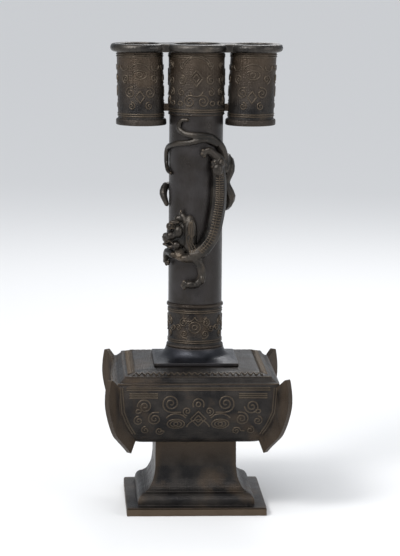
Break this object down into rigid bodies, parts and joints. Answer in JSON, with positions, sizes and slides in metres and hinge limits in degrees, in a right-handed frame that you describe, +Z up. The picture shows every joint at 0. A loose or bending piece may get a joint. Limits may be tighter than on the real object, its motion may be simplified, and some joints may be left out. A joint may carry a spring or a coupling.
{
  "type": "bronze arrow vase",
  "caption": "Bronze arrow vase: square belly with crescent corner flanges, flared foot, tall round neck with tubular side lugs and a climbing hornless dragon; open at the mouth and lugs",
  "frame": {"origin": "centre of the underside of the base plate", "axes": "+Z up along the neck axis, X along the line of the three mouths, the dragon faces -Y"},
  "size_m": [0.1848, 0.1848, 0.466],
  "materials": {
    "base_plate": "dark patina",
    "foot": "dark patina with tan wear",
    "belly": "dark patina",
    "belly_floor": "dark patina",
    "shoulder_collar": "dark patina",
    "neck_lower_band": "dark patina with tan wear",
    "neck_tube": "smooth blue-black patina",
    "mouth_band": "dark patina",
    "mouth_rim": "worn satin",
    "lugs": "dark patina",
    "lug_bridges": "dark patina",
    "dragon": "rubbed dark patina",
    "flanges": "dark patina, worn edges"
  },
  "bodies": {
    "root": {"base_plate": "base_plate", "foot": "foot", "belly_base": "belly", "belly_wall": "belly", "belly_shoulder": "belly", "belly_floor": "belly_floor", "shoulder_collar": "shoulder_collar", "neck_lower_band": "neck_lower_band", "neck_tube": "neck_tube", "mouth_band": "mouth_band", "mouth_rim": "mouth_rim", "lug_left": "lugs", "lug_right": "lugs", "lug_bridge_left": "lug_bridges", "lug_bridge_right": "lug_bridges", "dragon": "dragon", "corner_flange_back_right": "flanges", "corner_flange_back_left": "flanges", "corner_flange_front_left": "flanges", "corner_flange_front_right": "flanges"}
  },
  "joints": []
}
